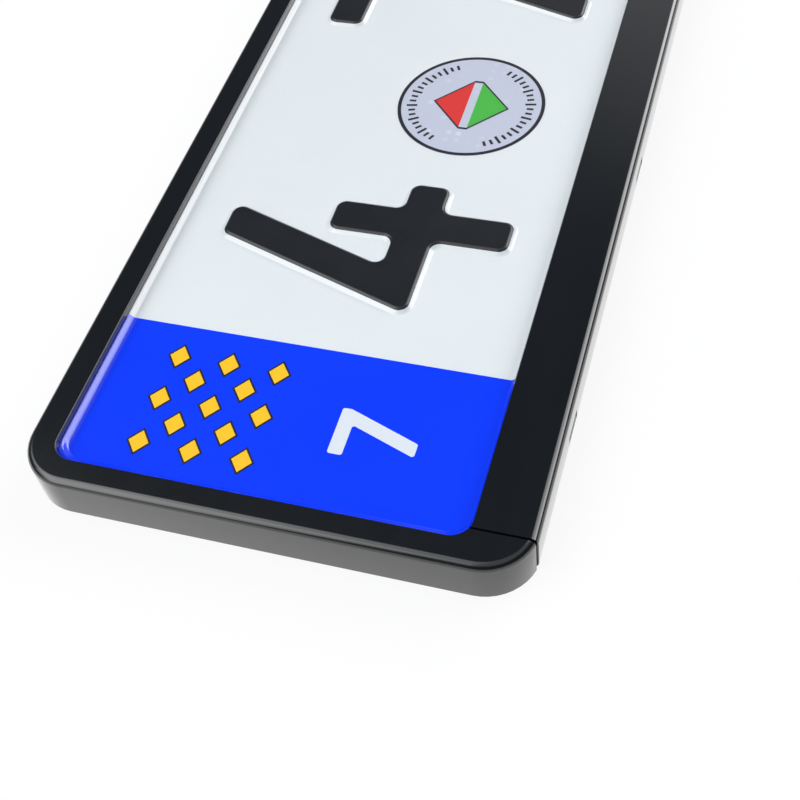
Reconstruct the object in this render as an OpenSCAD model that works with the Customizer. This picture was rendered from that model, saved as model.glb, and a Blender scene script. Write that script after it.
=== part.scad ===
// Frame holder for a standard long car number plate, lying on its back with the plate clipped in.
// +X runs along the plate in reading direction, +Y to its top edge, +Z out of its front.
// The origin is the middle of the holder's back plane.

/* [Number plate] */
// Length of the plate
plate_l = 520; // [480:1:540]
// Width of the plate
plate_w = 110; // [105:1:120]
// Thickness of the aluminium sheet
plate_t = 1.0; // [0.8:0.1:1.4]
// Radius of the plate's corners
plate_corner_r = 10; // [8:0.5:12]
// Height of the raised rim and digits above the sheet's field
emboss_h = 1.2; // [0.8:0.1:1.5]
// Width of the raised rim along the long edges
rim_w = 5.1; // [4.7:0.1:5.5]
// Width of the raised rim at the two ends
rim_end_w = 5.5; // [4.6:0.1:6]
// How far the field is stamped off the plate's middle, towards the top edge
field_shift = 0.7; // [0:0.1:0.8]
// Width of the slope between rim and field
bevel_w = 1.1; // [0.8:0.1:1.3]
// Corner radius of the field
field_r = 5; // [4:0.5:6]

/* [Digits] */
// Height of a digit
digit_h = 75; // [72:0.5:78]
// Width of a digit
digit_w = 44.5; // [42:0.5:46]
// Stroke width of a digit
stroke_w = 10.5; // [9:0.5:11]
// Corner radius of a stroke's ends and joints
stroke_r = 2.6; // [1.5:0.1:2.8]
// Distance from one digit to the next in a group
digit_pitch = 52; // [50:0.5:54]
// Middle of the single first digit, from the plate's left end
first_digit_x = 86.2; // [84:0.1:90]
// Middle of the second group's first digit, from the plate's left end
second_group_x = 194; // [192:0.5:196]
// Extra space between the second and third groups
group_gap = 22; // [14:0.5:24]
// Black foil's margin inside a raised stroke
foil_margin = 0.4; // [0.2:0.1:0.8]

/* [Band and label] */
// Width of the blue band at the plate's left end
band_w = 50; // [48:0.5:54]
// Thickness of the films and the label
film_t = 0.1; // [0.06:0.01:0.14]
// Thickness of the print on them
ink_t = 0.05; // [0.03:0.01:0.08]
// Half length of a yellow mark
mark_r = 3.2; // [2.5:0.1:3.8]
// Half width of a mark, as a part of its half length
mark_waist = 0.8; // [0.6:0.05:1]
// Distance from one mark to the next in a row
mark_pitch = 13; // [11:0.5:14]
// Middle of the field of marks, from the plate's left end
marks_x = 27.5; // [26:0.5:29]
// Middle of the field of marks, above the plate's middle
marks_y = 20; // [18:0.5:22]
// Height of the white digit on the band
band_digit_h = 20; // [16:0.5:22]
// Width of the white digit
band_digit_w = 13; // [11:0.5:14]
// Stroke width of the white digit
band_stroke_w = 3.6; // [3:0.1:4]
// Middle of the white digit, below the plate's middle
band_digit_y = 21.5; // [20:0.5:24]
// Radius of the round label
label_r = 20.7; // [18:0.1:21]
// Middle of the label, from the plate's left end
label_x = 142.8; // [142:0.1:144]
// Middle of the label, below the plate's middle
label_y = 14.4; // [12:0.1:17]
// Width of the label's dark outer ring
label_ring_w = 1.0; // [0.6:0.1:1.6]
// Width of the label's two-part lozenge
emblem_w = 19; // [15:0.5:22]
// Height of the lozenge's two coloured parts together
emblem_h = 18; // [14:0.5:20]
// Width of the bare stripe between them
stripe_w = 2.4; // [1.5:0.1:3.5]

/* [Frame] */
// Thickness of the outer walls
wall_t = 2.2; // [1.8:0.1:2.6]
// Thickness of the front lips
lip_t = 2.1; // [1.8:0.1:2.6]
// How far the end lips reach over the plate
end_lip_cover = 4.3; // [3.5:0.1:5]
// How far the top lip reaches over the plate
top_lip_cover = 4.5; // [3.5:0.1:4.8]
// How far the closing strip reaches over the plate
strip_cover = 5.7; // [4.5:0.1:6.5]
// Corner radius of the window
window_r = 5; // [4:0.5:7]
// Rounding of the front outer edge
edge_r = 1.8; // [1:0.1:2]
// Bevel on the window's edge
lip_bevel = 0.4; // [0.2:0.05:0.7]
// Play between the plate and the walls at its ends and bottom edge
plate_play = 0.4; // [0.2:0.1:1]
// Play above the plate's top edge
top_play = 0.8; // [0.4:0.1:1.2]
// Clearance between the plate's raised rim and the lips
lip_gap = 0.2; // [0.15:0.05:0.4]

/* [Panel and ribs] */
// Thickness of the panel behind the plate
panel_t = 2.0; // [1.6:0.1:2.6]
// Depth of the ribs behind the panel
rib_h = 5.5; // [5:0.1:8]
// Thickness of the ribs
rib_t = 1.5; // [1.2:0.1:1.8]
// Distance of the long ribs from the plate's middle
rib_row_y = 20; // [19:0.5:22]
// Number of cells along the holder
cell_n = 12; // [10:2:14]
// Margin between a cell's window and the ribs beside it
cell_margin_x = 8; // [7:0.5:9]
// Margin between a cell's window and the long ribs
cell_margin_y = 9; // [8.5:0.1:10]
// Corner radius of a cell's window
cell_r = 4; // [2:0.5:5]

/* [Screw mounts] */
// Distance between the slots along the holder
slot_spacing = 260; // [240:1:280]
// Distance between the round holes along the holder
hole_spacing = 430; // [410:1:440]
// Radius of the screw holes and half the width of the slots
screw_r = 2.6; // [2.2:0.1:3]
// Length of the slots
slot_l = 16; // [12:0.5:20]
// Radius of the well for the screw's head
well_r = 5.6; // [5:0.1:6]
// Wall round a screw well
well_wall_t = 1.8; // [1.4:0.1:2]
// Thickness under the screw's head
seat_t = 3.0; // [2.4:0.1:3.6]

/* [Strip hinge and catches] */
// Radius of the strip's hinge bead
barrel_r = 2.4; // [2.2:0.05:2.7]
// Radius of the hinge pins
pin_r = 1.2; // [1:0.05:1.4]
// Running clearance round a hinge pin
pin_gap = 0.06; // [0.03:0.01:0.09]
// Width of a hinge hook on the base
ear_w = 8; // [6:0.5:10]
// Width of the mouth through which a pin snaps in
mouth_w = 1.8; // [1.4:0.1:2]
// Clearance between the strip and the base round the hinge
hinge_gap = 0.5; // [0.35:0.05:0.7]
// Gap at each end of the strip
seam_gap = 0.5; // [0.4:0.05:0.7]
// Distance of the seams from the plate's ends
seam_inset = 6.9; // [6.5:0.1:8]
// Width of a catch hook
hook_w = 12; // [8:0.5:14]
// Thickness of a catch hook
hook_t = 1.5; // [1.3:0.1:1.8]
// Length of the nose on a catch hook
nose_l = 0.9; // [0.7:0.05:1]
// Grip of the nose under the panel's edge
nose_grip = 0.3; // [0.2:0.05:0.35]
// Clearance between a catch hook and the base
hook_gap = 0.3; // [0.25:0.05:0.5]
// Thickness of the strip's inner webs
web_t = 1.5; // [1.2:0.1:2]

/* [Hidden] */

cut = 1;
round_fn = 96;
small_fn = 48;
corner_steps = 5;
round_steps = 12;

// Heights, from the back plane up
panel_z0 = rib_h;
panel_z1 = panel_z0 + panel_t;
field_z = panel_z1 + plate_t;
rim_z = field_z + emboss_h;
lip_z = rim_z + lip_gap;
holder_h = lip_z + lip_t;

// Bottom margin from the plate's edge: catch hook, base wall, then hinge bead
bottom_margin = plate_play + hook_t + hook_gap + rib_t + hinge_gap + 2 * barrel_r;
top_margin = top_play + wall_t;
holder_l = plate_l + 2 * (plate_play + wall_t);
holder_w = plate_w + bottom_margin + top_margin;

plate_cy = (bottom_margin - top_margin) / 2;
plate_top = plate_cy + plate_w / 2;
plate_bottom = plate_cy - plate_w / 2;
plate_left = -plate_l / 2;

// The walls run round the plate's corners on the same centres
inner_r = plate_corner_r + plate_play;
corner_r = inner_r + wall_t;
inner_l = holder_l - 2 * wall_t;
inner_w = holder_w - 2 * wall_t;

window_l = plate_l - 2 * end_lip_cover;
window_y1 = plate_top - top_lip_cover;
window_y0 = plate_bottom + strip_cover;
window_w = window_y1 - window_y0;
window_cy = (window_y1 + window_y0) / 2;

seam_x = plate_l / 2 - seam_inset;
strip_half_l = seam_x - seam_gap / 2;
block_x = seam_x + seam_gap / 2;

hook_y1 = plate_bottom - plate_play;
hook_y0 = hook_y1 - hook_t;
base_wall_y1 = hook_y0 - hook_gap;
base_wall_y0 = base_wall_y1 - rib_t;
hinge_y = base_wall_y0 - hinge_gap - barrel_r;
hinge_z = barrel_r;

// The nose clears the panel's edge as it swings about the hinge
nose_y = hook_y1 + nose_l;
ledge_y = nose_y - nose_grip;
ledge_reach = ledge_y - hook_gap / 3 - hinge_y;
nose_reach = nose_y - hinge_y;
ledge_drop = panel_z0 - hinge_z;
nose_rise = sqrt(max(0.01, pow(ledge_reach, 2) + pow(ledge_drop, 2) - pow(nose_reach, 2)));
nose_z1 = hinge_z + min(nose_rise, ledge_drop - hook_gap);
nose_h = 0.9;
hook_z0 = nose_z1 - nose_h;

cell_pitch = inner_l / cell_n;
ear_cells = [-5, -3, -1, 1, 3, 5];
hook_cells = [-4.5, -2.5, -0.5, 0.5, 2.5, 4.5];

third_group_x = second_group_x + 2 * digit_pitch + group_gap;

// The last group has as many digits as the plate has room for
field_end = plate_l - rim_end_w - bevel_w;
last_group = [1, 6, 0, 4];
last_n = min(len(last_group), 1 + floor((field_end - digit_w / 2 - third_group_x) / digit_pitch));
plate_digits = concat(
    [[4, first_digit_x], [7, second_group_x], [0, second_group_x + digit_pitch]],
    [for (i = [0 : last_n - 1]) [last_group[i], third_group_x + i * digit_pitch]]);

plastic = [0.13, 0.14, 0.15];
white = [0.88, 0.91, 0.92];
blue = [0.09, 0.27, 0.95];
yellow = [1.0, 0.8, 0.16];
black = [0.13, 0.14, 0.16];
silver = [0.8, 0.82, 0.9];
red = [0.89, 0.24, 0.22];
green = [0.31, 0.74, 0.29];

// Box given by its lowest and highest corners
module span(lo, hi) {
    translate(lo) cube(hi - lo);
}

// Flat shapes

module soft_square(size, r) {
    square([size.x - 2 * r, size.y], center = true);
    square([size.x, size.y - 2 * r], center = true);
    for (sx = [-1, 1], sy = [-1, 1])
        translate([sx * (size.x / 2 - r), sy * (size.y / 2 - r)]) circle(r, $fn = small_fn);
}

function cross_of(a, b) = a.x * b.y - a.y * b.x;
function left_of(a) = [-a.y, a.x];
function turned(a, t) = [a.x * cos(t) - a.y * sin(t), a.x * sin(t) + a.y * cos(t)];

// Direction of the side that leads to point i of a closed outline
function side_to(p, i) =
    let (a = p[(i + len(p) - 1) % len(p)], b = p[i % len(p)], d = [b[0] - a[0], b[1] - a[1]]) d / norm(d);

// Arc at a corner [x, y, radius] between directions a and b, drawn d inside the outline
function soft_corner(c, a, b, d) = let (
    bend = sign(cross_of(a, b)),
    turn = bend * acos(a * b),
    r = c[2] - bend * d,
    centre = [c[0], c[1]] + bend * c[2] * (left_of(a) + left_of(b)) / (1 + a * b),
    steps = c[2] > stroke_w ? round_steps : corner_steps)
    [for (k = [0 : steps]) centre - bend * r * left_of(turned(a, turn * k / steps))];

// Closed outline through corners [x, y, radius], anticlockwise, drawn d inside
module soft_outline(p, d) {
    polygon([for (i = [0 : len(p) - 1]) each soft_corner(p[i], side_to(p, i), side_to(p, i + 1), d)]);
}

function level_box(half, r) =
    [[-half.x, -half.y, r], [half.x, -half.y, r], [half.x, half.y, r], [-half.x, half.y, r]];

function moved(p, y) = [for (c = p) [c[0], c[1] + y, c[2]]];

// Outlines of a block digit of half width w and half height h, with stroke s and corners r
function ring_outlines(w, h, s) = [level_box([w, h], 0.75 * w), level_box([w - s, h - s], 0.75 * w - s)];

function one_outline(w, h, s, r) = let (
    left = 0.3 * w - s,
    flag_x = -0.75 * w,
    flag_y = h - 0.8 * (left + 0.4 * s - flag_x),
    flag_s = s * norm([1, 0.8]))
    [[left, -h, r], [left + s, -h, r], [left + s, h, r], [left + 0.4 * s, h, r], [flag_x, flag_y, r],
        [flag_x, flag_y - flag_s, r], [left, flag_y - flag_s + 0.8 * (left - flag_x), r]];

function four_outline(w, h, s, r) = let (
    bar_y = -0.48 * h,
    stem_x = 0.11 * w,
    top_x = -0.19 * w,
    slant = (top_x + w) / (h - bar_y),
    slant_s = s * norm([1, slant]))
    [[stem_x, -h, r], [stem_x + s, -h, r], [stem_x + s, bar_y, r], [w, bar_y, r], [w, bar_y + s, r],
        [stem_x + s, bar_y + s, r], [stem_x + s, bar_y + 2.7 * s, r], [stem_x, bar_y + 2.7 * s, r],
        [stem_x, bar_y + s, r], [slant * s + slant_s - w, bar_y + s, r], [top_x + slant_s, h, r],
        [top_x, h, r], [-w, bar_y, r], [stem_x, bar_y, r]];

function six_outlines(w, h, s, r) = let (
    ring_y = 2 * w - h,
    knee_y = 0.95 * w - h,
    top_x = 0.05 * w,
    slant = (top_x + w) / (h - knee_y),
    slant_s = s * norm([1, slant]))
    [[[-w, -h, 0.75 * w], [w, -h, 0.75 * w], [w, ring_y, 0.75 * w],
        [slant * (ring_y - knee_y) + slant_s - w, ring_y, r], [top_x + slant_s, h, r], [top_x, h, r],
        [-w, knee_y, 0.75 * w]],
        moved(level_box([w - s, w - s], 0.75 * w - s), w - h)];

function seven_outline(w, h, s, r) = let (
    foot_x = 0.01 * w,
    slant = (w - foot_x) / (2 * h - 0.6 * s),
    slant_s = s * norm([1, slant]))
    [[foot_x - slant_s, -h, r], [foot_x, -h, r], [w, h - 0.6 * s, r], [w, h, r], [-w, h, r], [-w, h - s, r],
        [foot_x - slant_s + slant * (2 * h - s), h - s, r]];

function digit_outlines(n, w, h, s, r) =
    n == 0 ? ring_outlines(w, h, s) :
    n == 1 ? [one_outline(w, h, s, r)] :
    n == 4 ? [four_outline(w, h, s, r)] :
    n == 6 ? six_outlines(w, h, s, r) : [seven_outline(w, h, s, r)];

// A digit drawn d inside its outline, with its counter left open
module digit_shape(n, size, s, r, d) {
    outlines = digit_outlines(n, size.x / 2, size.y / 2, s, r);
    difference() {
        soft_outline(outlines[0], d);
        if (len(outlines) > 1) soft_outline(outlines[1], -d);
    }
}

// All the plate's digits, h high, with their outline inset
module plate_digit_blocks(z, h, inset) {
    for (d = plate_digits)
        translate([plate_left + d[1], plate_cy, z]) linear_extrude(h)
            digit_shape(d[0], [digit_w, digit_h], stroke_w, stroke_r, inset);
}

// Solids with rounded corners and shaped edges

module edge_section(half, h, e) {
    square([half - e, h]);
    square([half, h - e]);
    translate([half - e, h - e]) circle(e, $fn = small_fn);
}

module both_edges(half, h, e) {
    edge_section(half, h, e);
    mirror([1, 0]) edge_section(half, h, e);
}

// Block with rounded corners r and a rounded top edge e
module soft_block(l, w, h, r, e) {
    for (sx = [-1, 1], sy = [-1, 1])
        translate([sx * (l / 2 - r), sy * (w / 2 - r), 0])
            rotate_extrude($fn = round_fn) edge_section(r, h, e);
    rotate([90, 0, 90]) linear_extrude(l - 2 * r, center = true) both_edges(w / 2, h, e);
    rotate([90, 0, 0]) linear_extrude(w - 2 * r, center = true) both_edges(l / 2, h, e);
}

module prism(l, w, h, r) {
    linear_extrude(h) soft_square([l, w], r);
}

module slope_section(half, h, s) {
    polygon([[-half, 0], [half, 0], [half + s, h], [-half - s, h]]);
}

// Tapered block: l by w and corners r at the bottom, wider by s all round at height h
module flared_block(l, w, h, r, s) {
    for (sx = [-1, 1], sy = [-1, 1])
        translate([sx * (l / 2 - r), sy * (w / 2 - r), 0])
            cylinder(h = h, r1 = r, r2 = r + s, $fn = small_fn);
    rotate([90, 0, 90]) linear_extrude(l - 2 * r, center = true) slope_section(w / 2, h, s);
    rotate([90, 0, 0]) linear_extrude(w - 2 * r, center = true) slope_section(l / 2, h, s);
}

// Base moulding

module window_cut() {
    translate([0, window_cy, 0]) {
        translate([0, 0, panel_z1]) prism(window_l, window_w, holder_h, window_r);
        translate([0, 0, holder_h - lip_bevel])
            flared_block(window_l, window_w, 2 * lip_bevel, window_r, 2 * lip_bevel);
    }
}

module plate_pocket() {
    difference() {
        translate([0, 0, panel_z1]) prism(inner_l, inner_w, lip_z - panel_z1, inner_r);
        span([-block_x - web_t, -holder_w, 0], [block_x + web_t, hook_y1, holder_h]);
    }
}

module back_pocket() {
    difference() {
        translate([0, 0, -cut]) prism(inner_l, inner_w, rib_h + cut, inner_r);
        span([-block_x - web_t, -holder_w, -2 * cut], [block_x + web_t, base_wall_y1, holder_h]);
    }
}

module strip_space() {
    span([-block_x, -holder_w, -cut], [block_x, base_wall_y0, holder_h + cut]);
    span([-block_x, -holder_w, panel_z1], [block_x, window_y0 + window_r, holder_h + cut]);
}

module cell_windows() {
    centre_h = 2 * (rib_row_y - cell_margin_y);
    outer_h = plate_w / 2 - rib_row_y - 2 * cell_margin_y;
    outer_y = (plate_w / 2 + rib_row_y) / 2;
    rows = [[0, centre_h], [outer_y, outer_h], [-outer_y, outer_h]];
    for (i = [0 : cell_n - 1], row = rows)
        translate([(i + 0.5 - cell_n / 2) * cell_pitch, plate_cy + row[0], panel_z0 - cut])
            prism(cell_pitch - 2 * cell_margin_x, row[1], panel_t + 2 * cut, cell_r);
}

module back_ribs() {
    for (i = [1 : cell_n - 1])
        translate([(i - cell_n / 2) * cell_pitch - rib_t / 2, base_wall_y1 - rib_t / 2, 0])
            cube([rib_t, inner_w / 2 - base_wall_y1 + rib_t, rib_h + rib_t / 2]);
    for (s = [-1, 1])
        translate([-inner_l / 2 - rib_t / 2, plate_cy + s * rib_row_y - rib_t / 2, 0])
            cube([inner_l + rib_t, rib_t, rib_h + rib_t / 2]);
}

module long_hole(r, l, h) {
    for (s = [-1, 1]) translate([s * (l / 2 - r), 0, 0]) cylinder(h = h, r = r, $fn = small_fn);
    translate([-(l / 2 - r), -r, 0]) cube([l - 2 * r, 2 * r, h]);
}

module at_slots() {
    for (sx = [-1, 1], sy = [-1, 1])
        translate([sx * slot_spacing / 2, plate_cy + sy * rib_row_y, 0]) children();
}

module at_holes() {
    for (sx = [-1, 1], sy = [-1, 1])
        translate([sx * hole_spacing / 2, plate_cy + sy * rib_row_y, 0]) children();
}

module well_bosses() {
    boss_r = well_r + well_wall_t;
    at_slots() long_hole(boss_r, slot_l + 2 * (boss_r - screw_r), panel_z1);
    at_holes() cylinder(h = panel_z1, r = boss_r, $fn = small_fn);
}

module well_cuts() {
    at_slots() {
        translate([0, 0, -cut]) long_hole(screw_r, slot_l, holder_h);
        translate([0, 0, seat_t]) long_hole(well_r, slot_l + 2 * (well_r - screw_r), holder_h);
    }
    at_holes() {
        translate([0, 0, -cut]) cylinder(h = holder_h, r = screw_r, $fn = small_fn);
        translate([0, 0, seat_t]) cylinder(h = holder_h, r = well_r, $fn = small_fn);
    }
}

module at_hinge() {
    for (c = ear_cells) translate([c * cell_pitch, hinge_y, hinge_z]) children();
}

module along_x(r, l) {
    rotate([0, 90, 0]) cylinder(h = l, r = r, center = true, $fn = small_fn);
}

module hinge_ears() {
    at_hinge() difference() {
        union() {
            along_x(barrel_r, ear_w);
            span([-ear_w / 2, 0, -hinge_z], [ear_w / 2, base_wall_y0 + rib_t / 2 - hinge_y, pin_r]);
        }
        along_x(pin_r + pin_gap, ear_w + 2 * cut);
        span([-ear_w / 2 - cut, -mouth_w / 2, 0], [ear_w / 2 + cut, mouth_w / 2, 2 * barrel_r]);
    }
}

module catch_slots() {
    slot_w = hook_w / 2 + hook_gap + hinge_gap / 2;
    for (c = hook_cells)
        translate([c * cell_pitch, 0, 0])
            span([-slot_w, base_wall_y0 - cut, hook_z0 - hook_gap], [slot_w, ledge_y, holder_h]);
}

module base_frame() {
    color(plastic) union() {
        difference() {
            union() {
                difference() {
                    soft_block(holder_l, holder_w, holder_h, corner_r, edge_r);
                    plate_pocket();
                    back_pocket();
                    window_cut();
                    strip_space();
                    cell_windows();
                }
                back_ribs();
                well_bosses();
            }
            well_cuts();
            catch_slots();
        }
        hinge_ears();
    }
}

// Closing strip

module strip_blank() {
    difference() {
        intersection() {
            rotate([90, 0, 90]) linear_extrude(2 * strip_half_l, center = true)
                both_edges(holder_w / 2, holder_h, edge_r);
            span([-holder_l, -holder_w, hinge_z], [holder_l, window_y0 + window_r, holder_h + cut]);
        }
        span([-holder_l, -holder_w / 2 + wall_t, 0], [holder_l, holder_w, lip_z]);
        window_cut();
    }
}

module hook(x) {
    translate([x, 0, 0]) {
        span([-hook_w / 2, hook_y0, hook_z0], [hook_w / 2, hook_y1, lip_z + lip_t / 2]);
        translate([-hook_w / 2, hook_y1, hook_z0]) rotate([90, 0, 90]) linear_extrude(hook_w)
            polygon([[-hook_t / 2, 0], [0, 0], [nose_l, nose_h / 2], [nose_l, nose_h], [-hook_t / 2, nose_h]]);
    }
}

module strip_web(x) {
    wall_y = -holder_w / 2 + wall_t / 2;
    translate([x - web_t / 2, 0, 0])
        span([0, wall_y, 2 * barrel_r], [web_t, hinge_y + barrel_r, lip_z + lip_t / 2]);
}

module closing_strip() {
    notch_w = ear_w / 2 + hinge_gap / 2;
    web_x = strip_half_l - web_t / 2;
    color(plastic) union() {
        difference() {
            union() {
                strip_blank();
                translate([0, hinge_y, hinge_z]) along_x(barrel_r, 2 * strip_half_l);
            }
            at_hinge() span([-notch_w, -2 * barrel_r, -2 * barrel_r],
                [notch_w, 2 * barrel_r, barrel_r + hinge_gap]);
        }
        at_hinge() along_x(pin_r, 2 * notch_w + pin_r);
        for (c = hook_cells) hook(c * cell_pitch);
        for (c = hook_cells, s = [-1, 1]) strip_web((c + s * 0.2) * cell_pitch);
        for (s = [-1, 1]) strip_web(s * web_x);
    }
}

// Number plate

module plate_corners(h) {
    translate([0, plate_cy, 0]) prism(plate_l, plate_w, h, plate_corner_r);
}

// The sheet's front side, raised by d where a film lies on it
module plate_front(d) {
    field_l = plate_l - 2 * (rim_end_w + bevel_w);
    field_w = plate_w - 2 * (rim_w + bevel_w);
    slope = bevel_w / emboss_h;
    translate([0, 0, panel_z1]) difference() {
        plate_corners(plate_t + emboss_h + d);
        translate([0, plate_cy + field_shift, plate_t + d])
            flared_block(field_l - 2 * d, field_w - 2 * d, 2 * emboss_h, field_r, 2 * emboss_h * slope);
    }
}

// Hollow under the raised rim
module rim_hollow() {
    grip = plate_t / 2;
    translate([0, plate_cy, panel_z1 - cut]) difference() {
        prism(plate_l + cut, plate_w + cut, emboss_h + cut, plate_corner_r);
        translate([0, field_shift, 0])
            prism(plate_l - 2 * (rim_end_w - grip), plate_w - 2 * (rim_w - grip), 4 * emboss_h, field_r);
    }
}

module number_plate() {
    color(white) difference() {
        union() {
            plate_front(0);
            plate_digit_blocks(panel_z1 + plate_t / 2, plate_t / 2 + emboss_h, 0);
        }
        rim_hollow();
        plate_digit_blocks(panel_z1 - cut, emboss_h + cut, plate_t);
    }
}

module digit_foil() {
    color(black) plate_digit_blocks(rim_z, film_t / 2, foil_margin);
}

module blue_film() {
    color(blue) intersection() {
        difference() {
            plate_front(film_t / 2);
            plate_front(0);
        }
        span([plate_left - cut, -holder_w, 0], [plate_left + band_w, holder_w, holder_h]);
    }
}

module on_film(h) {
    translate([plate_left, plate_cy, field_z + film_t / 2]) linear_extrude(h) children();
}

// Lozenges in staggered rows of three and two
module band_marks() {
    color(yellow) on_film(ink_t)
        for (row = [-2 : 2], i = [0 : 2 - abs(row % 2)])
            translate([marks_x + (i - 1 + abs(row % 2) / 2) * mark_pitch, marks_y + row * mark_pitch / 2])
                polygon([[mark_r, 0], [0, mark_r * mark_waist], [-mark_r, 0], [0, -mark_r * mark_waist]]);
}

module band_digit() {
    color(white) on_film(ink_t)
        translate([marks_x, -band_digit_y])
            digit_shape(7, [band_digit_w, band_digit_h], band_stroke_w, band_stroke_w / 6, 0);
}

// Round label

module at_label(z, h) {
    translate([plate_left + label_x, plate_cy - label_y, z]) linear_extrude(h) children();
}

module seal_label() {
    color(silver) at_label(field_z, film_t) circle(label_r, $fn = round_fn);
}

module seal_ring() {
    color(black) at_label(field_z + film_t, ink_t) difference() {
        circle(label_r, $fn = round_fn);
        circle(label_r - label_ring_w, $fn = round_fn);
    }
}

// Half of a lozenge that a stripe parts in two, above or below
module lozenge_half(side) {
    half_w = emblem_w / 2;
    translate([0, side * stripe_w / 2])
        polygon([[half_w, 0], [0, side * emblem_h / 2], [-half_w, 0]]);
}

module seal_upper_field() {
    color(red) at_label(field_z + film_t, ink_t) lozenge_half(1);
}

module seal_lower_field() {
    color(green) at_label(field_z + film_t, ink_t) lozenge_half(-1);
}

base_frame();
closing_strip();
number_plate();
blue_film();
band_marks();
band_digit();
digit_foil();
seal_label();
seal_ring();
seal_upper_field();
seal_lower_field();
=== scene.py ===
import math

import bmesh
import bpy
import numpy as np
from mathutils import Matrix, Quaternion, Vector
from mathutils.geometry import delaunay_2d_cdt


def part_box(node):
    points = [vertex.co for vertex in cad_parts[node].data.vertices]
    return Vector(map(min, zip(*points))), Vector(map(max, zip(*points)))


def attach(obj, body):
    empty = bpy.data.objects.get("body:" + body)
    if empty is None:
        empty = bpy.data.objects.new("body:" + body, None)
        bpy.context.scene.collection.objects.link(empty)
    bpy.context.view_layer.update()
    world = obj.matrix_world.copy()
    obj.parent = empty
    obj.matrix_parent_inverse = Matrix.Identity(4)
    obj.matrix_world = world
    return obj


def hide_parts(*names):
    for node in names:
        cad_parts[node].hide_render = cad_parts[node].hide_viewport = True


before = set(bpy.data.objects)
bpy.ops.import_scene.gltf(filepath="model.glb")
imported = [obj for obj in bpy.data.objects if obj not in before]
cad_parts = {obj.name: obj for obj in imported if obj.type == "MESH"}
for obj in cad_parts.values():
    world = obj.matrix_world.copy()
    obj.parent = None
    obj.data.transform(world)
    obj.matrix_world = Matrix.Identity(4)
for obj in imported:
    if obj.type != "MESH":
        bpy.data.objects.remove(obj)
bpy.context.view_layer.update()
mm = 0.001


# Wraps a socket, so that maths on it is written as a plain expression
class Wire:
    def __init__(self, graph, socket):
        self.graph, self.socket = graph, socket

    def maths(self, operation, *values):
        return self.graph.add("ShaderNodeMath", {"operation": operation}, dict(enumerate(values)))

    def __add__(self, other):
        return self.maths("ADD", self, other)

    def __radd__(self, other):
        return self.maths("ADD", other, self)

    def __sub__(self, other):
        return self.maths("SUBTRACT", self, other)

    def __rsub__(self, other):
        return self.maths("SUBTRACT", other, self)

    def __mul__(self, other):
        return self.maths("MULTIPLY", self, other)

    def __rmul__(self, other):
        return self.maths("MULTIPLY", other, self)

    def __mod__(self, other):
        return self.maths("FLOORED_MODULO", self, other)

    def __rmod__(self, other):
        return self.maths("FLOORED_MODULO", other, self)

    def __abs__(self):
        return self.maths("ABSOLUTE", self)

    def __gt__(self, other):
        return self.maths("GREATER_THAN", self, other)

    def __lt__(self, other):
        return self.maths("LESS_THAN", self, other)


# A node tree with one way to add any node: its kind, its settings, then its sockets. A list holds
# the wires of a socket that takes several.
class Graph:
    def __init__(self, tree):
        self.tree = tree
        tree.nodes.clear()

    def add(self, kind, settings=None, sockets=None, out=0):
        node = self.tree.nodes.new(kind)
        for name, value in (settings or {}).items():
            setattr(node, name, value)
        for key, value in (sockets or {}).items():
            for item in value if isinstance(value, list) else [value]:
                if isinstance(item, Wire):
                    self.tree.links.new(item.socket, node.inputs[key])
                else:
                    node.inputs[key].default_value = item
        return Wire(self, node.outputs[out]) if node.outputs else node

    # Another output of the node that a wire comes from
    def sibling(self, wire, out):
        return Wire(self, wire.socket.node.outputs[out])

    def split(self, vector):
        x = self.add("ShaderNodeSeparateXYZ", {}, {0: vector})
        return x, self.sibling(x, 1), self.sibling(x, 2)


# Linear colour of one that is given as a screen shows it, from 0 to 255
def linear(*srgb):
    return tuple(((v / 255 + 0.055) / 1.055) ** 2.4 if v > 10 else v / 255 / 12.92 for v in srgb)


def rgba(colour):
    return (*colour, 1.0)


# Materials

def newMaterial(name, build):
    material = bpy.data.materials.new(name)
    material.use_nodes = True
    graph = Graph(material.node_tree)
    place = graph.add("ShaderNodeTexCoord", out="Object")
    graph.add("ShaderNodeOutputMaterial", {}, {"Surface": build(graph, place)})
    return material


def noise(graph, place, scale, detail=2.0, roughness=0.5, stretch=(1, 1, 1)):
    spot = graph.add("ShaderNodeMapping", {}, {"Vector": place, "Scale": stretch})
    return graph.add("ShaderNodeTexNoise", {}, {
        "Vector": spot, "Scale": scale, "Detail": detail, "Roughness": roughness})


# The node's colours have sockets 6 and 7, and the mixed one is output 2
def mixColour(graph, factor, first, second):
    return graph.add("ShaderNodeMix", {"data_type": "RGBA"}, {
        "Factor": factor, 6: rgba(first), 7: rgba(second)}, out=2)


# Rises softly from 0 at the start to 1 at the end, which may be the smaller of the two
def fade(graph, value, start, end):
    return graph.add("ShaderNodeMapRange", {"interpolation_type": "SMOOTHSTEP"}, {
        "Value": value, "From Min": start, "From Max": end})


def bump(graph, height, strength, distance):
    return graph.add("ShaderNodeBump", {}, {"Height": height, "Strength": strength, "Distance": distance})


plasticLook = {
    "dark": linear(8, 9, 11),
    "pale": linear(14, 17, 21),
    "roughness": 0.13,
    "roughnessSpread": 0.12,
    "coatRoughness": 0.07,
    "ior": 1.46,
    "cloudScale": 22,
    "streakScale": 90,
    "streakShare": 0.3,         # of the colour, with the clouds for the rest
    "dullStreakShare": 0.4,     # and of the roughness
    "grainScale": 2600,
    "grainStrength": 0.2,
    "grainHeight": 0.000012,
}


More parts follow.
